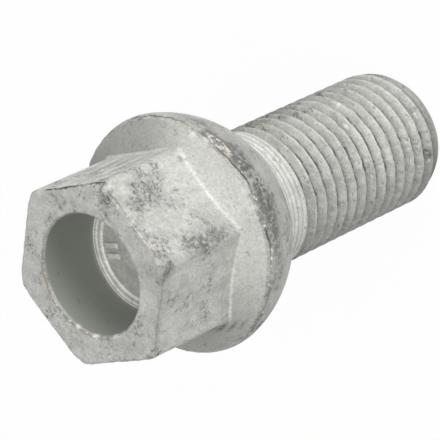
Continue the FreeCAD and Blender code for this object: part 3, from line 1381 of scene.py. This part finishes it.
    # Painted light and shade of the coat, kept for each point.
    light_and_shade: PaintedLightAndShade = PaintedLightAndShade()
    scuffing: Scuffing = Scuffing()

    def apply(self, mesh: bpy.types.Mesh) -> None:
        """Shape the worn places and store the attributes that the coat reads.

        Args:
            mesh: The threaded bolt, in metres.
        """
        skin = SkinPoints.from_mesh(mesh)
        rim, edge, mouth = (read_numbers(mesh, name) for name in WAYS)
        facing = np.cos(np.radians(turn_between(skin.degrees, self.mouth_burr_angle)))
        burr_side = self.mouth_burr_side.at(facing)
        burr = bell(mouth, self.mouth_reach) * burr_side
        beaten = bell(edge, self.beaten_reach) * self.beaten_span.share(skin)

        middle = self.middle.at(skin.places)
        fine = self.fine.at(skin.places)
        on_head = (skin.zones >= Zone.SEAT.value) & (skin.zones < Zone.WALL.value)
        offset = self.head_wave * self.coarse.at(skin.places) * on_head
        offset += bell(rim, self.rim_reach) * self.rim_rough.of(middle, fine)
        offset += bell(edge, self.edge_reach) * self.edge_rough.of(middle, fine)
        offset += beaten * self.beaten_rough.of(middle, fine)
        offset += burr * self.mouth_rough.of(np.abs(middle), fine)
        offset += total(self.dents, skin) * self.dent_rough.of(middle, fine)
        offset += total(self.burrs, skin) * self.burr_rough.of(middle, fine)
        offset[(skin.zones <= Zone.NECK.value) | (skin.zones >= Zone.LEDGE.value)] = 0.0
        moved = (skin.places + skin.normals * offset[:, None]) * MM
        moved[:, 2] = np.minimum(moved[:, 2], CAD_BOX[1].z + self.height_spare * MM)
        mesh.vertices.foreach_set("co", moved.ravel())

        flat = skin.on(Zone.FLAT)
        smudge_and_shade = total(self.smudges_and_shade, skin) + self.beaten_dirt * beaten
        stored = {
            "scuff": self.scuffing.of(skin),
            "burr": burr,
            "burr_side": burr_side,
            # Painted light and shade, as a factor on the coat's grey.
            "painted_shading": self.light_and_shade.of(skin, read_numbers(mesh, "groove")),
            "pit": np.clip(total(self.pits, skin), 0.0, 1.0),
            "glint": np.clip(total(self.glints, skin), 0.0, 1.0),
            "smudge_and_shade": np.clip(smudge_and_shade, 0.0, 1.0),
            "edge_worn": self.worn_edge_least + total(self.worn_edge, skin),
            "edge_dark": total(self.dark_edge, skin),
            "rim_dark": self.dark_rim_least + total(self.dark_rim, skin),
            "dent": self.dents[0].weight(skin) * ~flat,
            "streak": (self.streaked_least + total(self.streaked, skin)) * flat,
            # Marks the recess wall for its painted shade.
            "recess_wall_shade": skin.on(Zone.WALL),
            "calm": self.calm_cone * skin.on(Zone.CONE),
            "turned": self.turned.at(skin.heights) * (skin.zones <= Zone.NECK.value),
        }
        for name, numbers in stored.items():
            store_numbers(mesh, name, numbers)
        mesh.update()


@dataclass(frozen=True)
class Flecks:
    """Dark flecks, thin crooked lines and smears, thick where the coat is scuffed."""

    region: Pattern = Pattern(330.0, 3.0)
    spots: Pattern = Pattern(1500.0, 4.0, 1.3)
    gaps: Pattern = Pattern(2800.0, 3.0)
    lines: Pattern = Pattern(1300.0, 2.5, 0.8)
    smears: Pattern = Pattern(520.0, 4.0)
    scuff_gain: float = 0.22
    region_gain: Step = Step(0.0, 0.3, 0.1, 0.9)
    spot: Step = Step(0.59, 0.70, 0.0, 0.50)
    spot_gap: Step = Step(0.40, 0.58)
    line: Step = Step(0.04, 0.012, 0.0, 0.46)
    line_thick: Step = Step(0.03, 0.14)
    line_gap: Step = Step(0.42, 0.52)
    pit_gap: Step = Step(0.30, 0.45)
    smear: Step = Step(0.55, 0.85, 0.0, 0.24)

    def share(self, graph: Graph, place: Socket) -> Socket:
        """Add the nodes of the flecks.

        Args:
            graph: The material's nodes.
            place: Object coordinates.

        Returns:
            How dark the flecks are, from 0 to 1.
        """
        scuff = graph.kept("scuff")
        region = graph.less(graph.noise(place, self.region), 0.5)
        spread = graph.times(region, graph.ease(scuff, *self.region_gain))
        thick = graph.add(graph.times(scuff, self.scuff_gain), spread)
        gaps = graph.noise(place, self.gaps)
        spots = graph.ease(graph.add(graph.noise(place, self.spots), thick), *self.spot)
        spots = graph.times(spots, graph.ease(gaps, *self.spot_gap))
        crooked = graph.math("ABSOLUTE", graph.less(graph.noise(place, self.lines), 0.5))
        lines = graph.times(graph.ease(crooked, *self.line), graph.ease(thick, *self.line_thick))
        lines = graph.times(lines, graph.ease(gaps, *self.line_gap))
        pits = graph.times(graph.kept("pit"), graph.ease(gaps, *self.pit_gap))
        smears = graph.ease(graph.add(graph.noise(place, self.smears), thick), *self.smear)
        return graph.math("ADD", graph.add(graph.add(spots, lines), pits), smears, clamp=True)


@dataclass(frozen=True)
class EdgeColours:
    """Colours of worn-through, broken and dirty places, and of painted shade in the thread and along the
    head's far edges.
    """

    fleck_and_shade: Colour = (0.14, 0.14, 0.13)
    crack_and_shade: Colour = (0.07, 0.065, 0.06)
    nick: Colour = (0.82, 0.80, 0.74)
    ivory: Colour = (0.66, 0.62, 0.56)
    rust: Colour = (0.27, 0.235, 0.195)


@dataclass(frozen=True)
class ThreadDirtAndShade:
    """Grime and painted shade in the thread's roots, dark chips and painted shade along its crests, and
    bright chips and painted glints there too.
    """

    colours: EdgeColours = EdgeColours()
    spread: float = 0.6
    deep: Step = Step(0.68, 0.92)
    patchy: Step = Step(0.80, 1.10, 0.40, 1.0)
    crest_start: Step = Step(0.05, 0.2)
    crest_end: Step = Step(0.6, 0.3)
    dark_chip_and_shade: Step = Step(0.60, 0.68, 0.0, 0.6)
    chip_and_glint: Step = Step(0.36, 0.30, 0.0, 0.8)

    def lay(self, graph: Graph, cloud: Socket, mottle: Socket, colour: Socket) -> Socket:
        """Add the nodes of the root grime and painted shade, and of the crest chips and painted glints.

        Args:
            graph: The material's nodes.
            cloud: A wide pattern.
            mottle: A small pattern.
            colour: The colour so far.

        Returns:
            The colour with the grime, painted shade, chips and painted glints.
        """
        uneven = graph.times(graph.less(mottle, 0.5), self.spread)
        groove = graph.add(graph.kept("groove"), uneven)
        patchy = graph.ease(graph.add(cloud, mottle), *self.patchy)
        # Painted shade and grime: the thread's roots darken.
        root = graph.times(graph.ease(groove, *self.deep), patchy)
        colour = graph.mix(root, colour, self.colours.fleck_and_shade)
        crest = graph.times(graph.ease(groove, *self.crest_start), graph.ease(groove, *self.crest_end))
        # Dark chips and painted shade along the crests.
        dark = graph.times(crest, graph.ease(mottle, *self.dark_chip_and_shade))
        colour = graph.mix(dark, colour, self.colours.crack_and_shade)
        # Bright chips and painted glints along the crests.
        bright = graph.times(crest, graph.ease(mottle, *self.chip_and_glint))
        return graph.mix(bright, colour, self.colours.nick)


class EdgeNoise(NamedTuple):
    """Patterns that the worn edges share."""

    ragged: Socket
    jagged: Socket
    chips: Socket
    tint: Socket
    broken: Socket


@dataclass(frozen=True)
class WornEdges:
    """Broken dark lines, rusty tints and bright nicks along the edges, and the torn dent, with painted shade
    along the head's far edges.
    """

    colours: EdgeColours = EdgeColours()
    ragged: Pattern = Pattern(600.0, 5.0)
    chips: Pattern = Pattern(1900.0, 3.0)
    tint: Pattern = Pattern(700.0, 3.0)
    breaks: Pattern = Pattern(260.0, 2.0)
    broken: Step = Step(0.40, 0.55, 0.15, 1.0)
    chip_share: float = 0.5
    rim_drop: float = 0.4
    rim_jag: float = 0.9
    rim_rust: Step = Step(0.5, 0.1)
    rim_rust_tint: Step = Step(0.45, 0.6, 0.0, 0.5)
    rim_nick: Step = Step(0.4, 0.1)
    rim_nick_chip: Step = Step(0.60, 0.66)
    rim_crack: Step = Step(0.17, 0.03)
    edge_jag: float = 0.8
    edge_worn: Step = Step(0.28, 0.06)
    edge_ivory: float = 0.45
    edge_rust_tint: Step = Step(0.44, 0.58, 0.0, 0.75)
    edge_nick_chip: Step = Step(0.58, 0.66, 0.0, 0.8)
    edge_crack_and_shade: Step = Step(0.20, 0.05)
    mouth_jag: float = 0.6
    mouth_lip: Step = Step(0.16, 0.04)
    burr_nick_chip: Step = Step(0.53, 0.63, 0.0, 0.9)
    burr_rust_tint: Step = Step(0.5, 0.6, 0.0, 0.6)
    glint: float = 0.9
    dent_jag: float = 0.5
    dent_start: Step = Step(0.12, 0.28)
    dent_end: Step = Step(0.50, 0.36)
    dent_tint: Step = Step(0.4, 0.55, 0.3, 0.8)
    dent_chip: Step = Step(0.40, 0.58)
    dent_torn: Step = Step(0.40, 0.55, 0.0, 0.75)

    def lay(self, graph: Graph, place: Socket, colour: Socket) -> Socket:
        """Add the nodes of all worn edges.

        Args:
            graph: The material's nodes.
            place: Object coordinates.
            colour: The colour so far.

        Returns:
            The colour with the worn edges.
        """
        ragged = graph.less(graph.noise(place, self.ragged), 0.5)
        chips = graph.noise(place, self.chips)
        jagged = graph.add(ragged, graph.times(graph.less(chips, 0.5), self.chip_share))
        tint = graph.noise(place, self.tint)
        broken = graph.ease(graph.noise(place, self.breaks), *self.broken)
        noises = EdgeNoise(ragged, jagged, chips, tint, broken)
        for layer in (self.rim, self.head_edge, self.mouth, self.dent):
            colour = layer(graph, noises, colour)
        return colour

    @staticmethod
    def away(graph: Graph, way: Socket, pattern: Socket, jag: float) -> Socket:
        """Return the distance from a line that a pattern makes uneven."""
        return graph.math("ABSOLUTE", graph.add(way, graph.times(pattern, jag)))

    def rim(self, graph: Graph, noises: EdgeNoise, colour: Socket) -> Socket:
        """Lay rust, nicks and a dark cracked line below the collar's rim.

        Args:
            graph: The material's nodes.
            noises: The shared patterns.
            colour: The colour so far.

        Returns:
            The colour with the rim's wear.
        """
        below = graph.less(graph.kept("rim_way"), self.rim_drop)
        away = self.away(graph, below, noises.jagged, self.rim_jag)
        rust = graph.times(graph.ease(away, *self.rim_rust), graph.ease(noises.tint, *self.rim_rust_tint))
        colour = graph.mix(rust, colour, self.colours.rust)
        nick = graph.times(graph.ease(away, *self.rim_nick), graph.ease(noises.chips, *self.rim_nick_chip))
        colour = graph.mix(nick, colour, self.colours.nick)
        crack_and_shade = graph.times(graph.ease(away, *self.rim_crack), noises.broken, graph.kept("rim_dark"))
        return graph.mix(crack_and_shade, colour, self.colours.crack_and_shade)

    def head_edge(self, graph: Graph, noises: EdgeNoise, colour: Socket) -> Socket:
        """Lay worn-through patches, rust, nicks and a dark line along the head's edge, with painted shade on
        its far edges.

        Args:
            graph: The material's nodes.
            noises: The shared patterns.
            colour: The colour so far.

        Returns:
            The colour with the edge's wear and painted shade.
        """
        away = self.away(graph, graph.kept("edge_way"), noises.jagged, self.edge_jag)
        worn = graph.times(graph.ease(away, *self.edge_worn), graph.kept("edge_worn"))
        colour = graph.mix(graph.times(worn, self.edge_ivory), colour, self.colours.ivory)
        rust = graph.times(worn, graph.ease(noises.tint, *self.edge_rust_tint))
        colour = graph.mix(rust, colour, self.colours.rust)
        nick = graph.times(worn, graph.ease(noises.chips, *self.edge_nick_chip))
        colour = graph.mix(nick, colour, self.colours.nick)
        # Crack line, with painted shade on the head's far edges.
        crack_and_shade = graph.times(graph.ease(away, *self.edge_crack_and_shade), graph.kept("edge_dark"), noises.broken)
        return graph.mix(crack_and_shade, colour, self.colours.crack_and_shade)

    def mouth(self, graph: Graph, noises: EdgeNoise, colour: Socket) -> Socket:
        """Lay rust and nicks on the burr of the recess's mouth.

        Args:
            graph: The material's nodes.
            noises: The shared patterns.
            colour: The colour so far.

        Returns:
            The colour with the burr's wear.
        """
        burr = graph.kept("burr")
        away = self.away(graph, graph.kept("mouth_way"), noises.ragged, self.mouth_jag)
        lip = graph.times(graph.ease(away, *self.mouth_lip), graph.kept("burr_side"), noises.broken)
        colour = graph.mix(lip, colour, self.colours.rust)
        nick = graph.times(burr, graph.ease(noises.chips, *self.burr_nick_chip))
        colour = graph.mix(nick, colour, self.colours.nick)
        rust = graph.times(burr, graph.ease(noises.tint, *self.burr_rust_tint))
        return graph.mix(rust, colour, self.colours.rust)

    def dent(self, graph: Graph, noises: EdgeNoise, colour: Socket) -> Socket:
        """Lay the single glints and the torn dent with its dark outline.

        Args:
            graph: The material's nodes.
            noises: The shared patterns.
            colour: The colour so far.

        Returns:
            The colour with glints and dent.
        """
        colour = graph.mix(graph.times(graph.kept("glint"), self.glint), colour, self.colours.nick)
        lens = graph.add(graph.kept("dent"), graph.times(noises.ragged, self.dent_jag))
        outline = graph.times(graph.ease(lens, *self.dent_start), graph.ease(lens, *self.dent_end))
        outline = graph.times(outline, graph.ease(noises.tint, *self.dent_tint))
        colour = graph.mix(outline, colour, self.colours.fleck_and_shade)
        torn = graph.ease(noises.chips, *self.dent_chip)
        torn = graph.mix(torn, self.colours.fleck_and_shade, self.colours.ivory)
        return graph.mix(graph.ease(lens, *self.dent_torn), colour, torn)


@dataclass(frozen=True)
class ZincCoat:
    """Matt zinc-flake coat: pale grey and mottled, with flecks, grime and worn edges, and painted light and
    shade.
    """

    name: str = "zinc_flake_coat"
    pale: Colour = (0.60, 0.60, 0.567)
    dull: Colour = (0.45, 0.45, 0.425)
    # Painted shade: the recess wall's darker greenish grey.
    recess: Colour = (0.33, 0.345, 0.31)
    metallic: float = 0.15
    gloss: float = 0.4
    roughness: float = 0.38
    mottle_roughness: float = 0.2
    fleck_roughness: float = 0.2
    cloud: Pattern = Pattern(190.0, 3.0)
    mottle: Pattern = Pattern(900.0, 5.0)
    grain: Pattern = Pattern(4200.0, 2.0)
    speckle: Pattern = Pattern(2300.0, 3.0)
    streak: Pattern = Pattern(1500.0, 4.0)
    streak_stretch: Place = (1.0, 1.0, 0.10)
    streak_gain: float = 1.6
    cloud_share: float = 0.4
    mottle_share: float = 0.6
    pale_share: Step = Step(0.36, 0.62)
    calm_share: float = 0.6
    grain_shade: Step = Step(0.3, 0.7, 0.88, 1.09)
    smudge_shade: Step = Step(0.40, 0.56, 0.05, 0.78)
    ring_shade: Step = Step(-0.2, -0.8, 1.0, 0.72)
    ring_pitch: float = 0.62
    ring_depth: float = 0.9
    bump_strength: float = 0.5
    bump_depth: float = 0.05
    grain_bump: float = 0.3
    mottle_bump: float = 0.7
    fleck_bump: float = 0.8
    flecks: Flecks = Flecks()
    edges: WornEdges = WornEdges()
    thread_dirt_and_shade: ThreadDirtAndShade = ThreadDirtAndShade()

    def make(self) -> bpy.types.Material:
        """Build the material.

        Returns:
            The coat's material.
        """
        material = bpy.data.materials.new(self.name)
        material.use_nodes = True
        graph = Graph(material.node_tree)
        place = graph.node("ShaderNodeTexCoord").outputs["Object"]
        cloud = graph.noise(place, self.cloud)
        mottle = graph.noise(place, self.mottle)
        grain = graph.noise(place, self.grain)
        flecks = self.flecks.share(graph, place)
        rings = self.turned_rings(graph, place)

        blend = graph.add(graph.times(cloud, self.cloud_share), graph.times(mottle, self.mottle_share))
        pale = graph.ease(blend, *self.pale_share)
        calmer = graph.times(graph.less(self.calm_share, pale), graph.kept("calm"))
        colour = graph.mix(graph.add(pale, calmer), self.dull, self.pale)
        shade = self.shade(graph, place, mottle, grain, rings)
        colour = graph.mix(1.0, colour, shade, "MULTIPLY")
        colour = graph.mix(flecks, colour, self.edges.colours.fleck_and_shade)
        # The recess wall takes the darker grey: painted shade.
        colour = graph.mix(graph.kept("recess_wall_shade"), colour, self.recess)
        colour = self.edges.lay(graph, place, colour)
        # Grime with painted shade in the thread's roots, and chips with painted glints on its crests.
        colour = self.thread_dirt_and_shade.lay(graph, cloud, mottle, colour)

        shader = graph.node("ShaderNodeBsdfPrincipled")
        graph.feed(shader.inputs["Base Color"], colour)
        shader.inputs["Metallic"].default_value = self.metallic
        shader.inputs["Specular IOR Level"].default_value = self.gloss
        uneven = graph.times(mottle, self.mottle_roughness)
        uneven = graph.add(uneven, graph.times(flecks, self.fleck_roughness))
        graph.feed(shader.inputs["Roughness"], graph.math("ADD", uneven, self.roughness, clamp=True))
        height = graph.add(graph.times(grain, self.grain_bump), graph.times(mottle, self.mottle_bump))
        height = graph.add(graph.less(height, graph.times(flecks, self.fleck_bump)), rings)
        bump = graph.node("ShaderNodeBump")
        bump.inputs["Strength"].default_value = self.bump_strength
        bump.inputs["Distance"].default_value = self.bump_depth * MM
        graph.feed(bump.inputs["Height"], height)
        graph.feed(shader.inputs["Normal"], bump.outputs[0])
        graph.feed(graph.node("ShaderNodeOutputMaterial").inputs["Surface"], shader.outputs[0])
        return material

    def shade(self, graph: Graph, place: Socket, mottle: Socket, grain: Socket, rings: Socket) -> Socket:
        """Add the nodes that make the coat lighter and darker.

        Args:
            graph: The material's nodes.
            place: Object coordinates.
            mottle: A small pattern.
            grain: A fine pattern.
            rings: The turned rings.

        Returns:
            A grey of about 1 to multiply the coat's colour with.
        """
        # The painted light and shade that the mesh keeps scales the coat's grey.
        shade = graph.times(graph.ease(grain, *self.grain_shade), graph.kept("painted_shading"))
        drawn = graph.node("ShaderNodeVectorMath", operation="MULTIPLY")
        graph.feed(drawn.inputs[0], place)
        drawn.inputs[1].default_value = self.streak_stretch
        lines = graph.less(graph.noise(drawn.outputs[0], self.streak), 0.5)
        streaks = graph.times(lines, graph.kept("streak"), self.streak_gain)
        shade = graph.times(shade, graph.add(streaks, 1.0))
        speckle = graph.times(graph.add(mottle, graph.noise(place, self.speckle)), 0.5)
        # Darker patches, partly painted shade, darken the coat.
        smudge_and_shade = graph.times(graph.kept("smudge_and_shade"), graph.ease(speckle, *self.smudge_shade))
        shade = graph.times(shade, graph.less(1.0, smudge_and_shade), graph.ease(rings, *self.ring_shade))
        grey = graph.node("ShaderNodeCombineColor")
        for socket in grey.inputs:
            graph.feed(socket, shade)
        return grey.outputs[0]

    def turned_rings(self, graph: Graph, place: Socket) -> Socket:
        """Return fine turned rings on the neck, as a wave."""
        wave = graph.math("SINE", graph.times(graph.axes(place)[2], FULL_TURN / (self.ring_pitch * MM)))
        return graph.times(wave, graph.kept("turned"), self.ring_depth)


@dataclass
class Bolt:
    """The whole bolt: blank, thread, wear and coat, and the two ribs on the recess's floor."""

    sizes: BoltSizes
    thread: ThreadForm = ThreadForm()
    wear: Wear = Wear()
    coat: ZincCoat = ZincCoat()

    def build(self) -> list[bpy.types.Object]:
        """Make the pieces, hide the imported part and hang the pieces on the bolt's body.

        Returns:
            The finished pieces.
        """
        finish = self.coat.make()
        blank = BoltBlank(self.sizes, self.thread.pitch, self.thread.row_shares()).build()
        mesh = self.thread.cut(blank, self.sizes.shank_radius, finish)
        mesh.name = "wheel_bolt_skin"
        self.wear.apply(mesh)
        skin = self.place("wheel_bolt_skin", mesh, finish)
        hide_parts(NODE)
        ribs = RecessRibs(self.sizes.recess_floor).build(finish)
        return [skin, self.place("recess_ribs", ribs, finish)]

    @staticmethod
    def place(name: str, mesh: bpy.types.Mesh, finish: bpy.types.Material) -> bpy.types.Object:
        """Put a mesh in the scene, give it its finish and let it ride on the bolt.

        Args:
            name: The piece's name.
            mesh: Its mesh, in metres.
            finish: Its material.

        Returns:
            The piece.
        """
        piece = bpy.data.objects.new(name, mesh)
        bpy.context.scene.collection.objects.link(piece)
        mesh.materials.clear()
        mesh.materials.append(finish)
        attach(piece, BODY)
        return piece


@dataclass(frozen=True)
class Lamp:
    """A round soft lamp: its place and width in metres, and its power in watts."""

    name: str
    place: Place
    width: float
    power: float

    def build(self, aim: Place) -> None:
        """Hang the lamp and turn it to the aim.

        Args:
            aim: The place that it lights, in metres.
        """
        lamp = bpy.data.lights.new(self.name, "AREA")
        lamp.shape = "DISK"
        lamp.size = self.width
        lamp.energy = self.power
        holder = bpy.data.objects.new(self.name, lamp)
        holder.location = self.place
        holder.rotation_mode = "QUATERNION"
        holder.rotation_quaternion = (Vector(aim) - Vector(self.place)).to_track_quat("-Z", "Y")
        bpy.context.scene.collection.objects.link(holder)


@dataclass(frozen=True)
class Studio:
    """White floor, soft lamps and an even sky, with places and sizes in metres."""

    floor_half: float = 1.5
    floor_gap: float = 0.00005
    floor_grey: float = 0.85
    floor_glow: float = 0.97
    sky: float = 0.40
    lamps: tuple[Lamp, ...] = (
        Lamp("key_lamp", (0.06, -0.60, 0.12), 0.30, 2.18),
        Lamp("side_lamp", (0.40, -0.45, 0.12), 0.35, 0.55),
        Lamp("top_lamp", (-0.05, -0.12, 0.34), 0.18, 0.40),
    )
    aim: Place = (0.0, 0.0, 0.025)

    def build(self) -> None:
        """Make the floor, the sky and the lamps."""
        self.add_floor()
        self.add_sky()
        for lamp in self.lamps:
            lamp.build(self.aim)

    def add_floor(self) -> None:
        """Lay a white floor that takes a shadow and reads as white to camera and gloss."""
        reach = self.floor_half
        mesh = bpy.data.meshes.new("studio_floor")
        corners = ((-reach, -reach), (reach, -reach), (reach, reach), (-reach, reach))
        mesh.from_pydata([(x, y, -self.floor_gap) for x, y in corners], [], [(0, 1, 2, 3)])
        floor = bpy.data.objects.new("studio_floor", mesh)
        bpy.context.scene.collection.objects.link(floor)
        material = bpy.data.materials.new("studio_white")
        material.use_nodes = True
        graph = Graph(material.node_tree)
        seen = self.seen_share(graph)
        paper = graph.node("ShaderNodeBsdfDiffuse")
        graph.feed(paper.inputs["Color"], (self.floor_grey, self.floor_grey, self.floor_grey))
        glow = graph.node("ShaderNodeEmission")
        blend = graph.node("ShaderNodeMixShader")
        graph.feed(blend.inputs[0], graph.times(seen, self.floor_glow))
        graph.feed(blend.inputs[1], paper.outputs[0])
        graph.feed(blend.inputs[2], glow.outputs[0])
        graph.feed(graph.node("ShaderNodeOutputMaterial").inputs["Surface"], blend.outputs[0])
        mesh.materials.append(material)

    @staticmethod
    def seen_share(graph: Graph) -> Socket:
        """Add the nodes that tell what a ray is for.

        Args:
            graph: The nodes of a material or the sky.

        Returns:
            1 for rays from the camera and for reflected or passing rays, and 0 for the rest.
        """
        path = graph.node("ShaderNodeLightPath").outputs
        seen = graph.math("MAXIMUM", path["Is Camera Ray"], path["Is Glossy Ray"])
        return graph.math("MAXIMUM", seen, path["Is Transmission Ray"])

    def add_sky(self) -> None:
        """Light the scene evenly, and show white to the camera."""
        world = bpy.data.worlds.new("studio_sky")
        world.use_nodes = True
        graph = Graph(world.node_tree)
        seen = self.seen_share(graph)
        sky = graph.node("ShaderNodeBackground")
        graph.feed(sky.inputs["Strength"], graph.add(graph.times(seen, 1.0 - self.sky), self.sky))
        graph.feed(sky.inputs["Color"], (1.0, 1.0, 1.0))
        graph.feed(graph.node("ShaderNodeOutputWorld").inputs["Surface"], sky.outputs[0])
        bpy.context.scene.world = world


@dataclass(frozen=True)
class PhotoCamera:
    """The photograph's viewpoint, fitted to the bolt's outline, with clip distances in metres."""

    aim: Place = (-0.445, 0.137, 26.437)
    distance: float = 318.29
    azimuth: float = -107.069
    elevation: float = 43.665
    roll: float = 115.231
    lens: float = 274.85
    sensor: float = 36.0
    clip_start: float = 0.01
    clip_end: float = 10.0

    def build(self) -> None:
        """Place the camera and make it the scene's own."""
        turn, rise = math.radians(self.azimuth), math.radians(self.elevation)
        back = Vector((math.cos(turn) * math.cos(rise), math.sin(turn) * math.cos(rise), math.sin(rise)))
        upright = (Vector((0.0, 0.0, 1.0)) - back * back.z).normalized()
        level = upright.cross(back)
        lean = math.radians(self.roll)
        up = upright * math.cos(lean) + level * math.sin(lean)
        right = up.cross(back)
        place = (Vector(self.aim) + back * self.distance) * MM
        data = bpy.data.cameras.new("photo_camera")
        data.lens = self.lens
        data.sensor_width = self.sensor
        data.clip_start = self.clip_start
        data.clip_end = self.clip_end
        camera = bpy.data.objects.new("photo_camera", data)
        turned = Matrix((right, up, back)).transposed().to_4x4()
        camera.matrix_world = Matrix.Translation(place) @ turned
        bpy.context.scene.collection.objects.link(camera)
        bpy.context.scene.camera = camera


def main() -> None:
    """Build the bolt, the studio and the camera."""
    logging.basicConfig(level=logging.INFO)
    bpy.context.scene.view_settings.view_transform = "Standard"
    for piece in Bolt(BoltSizes.from_frame()).build():
        LOG.info("%s: %d faces", piece.name, len(piece.data.polygons))
    Studio().build()
    PhotoCamera().build()


if __name__ == "__main__":
    main()
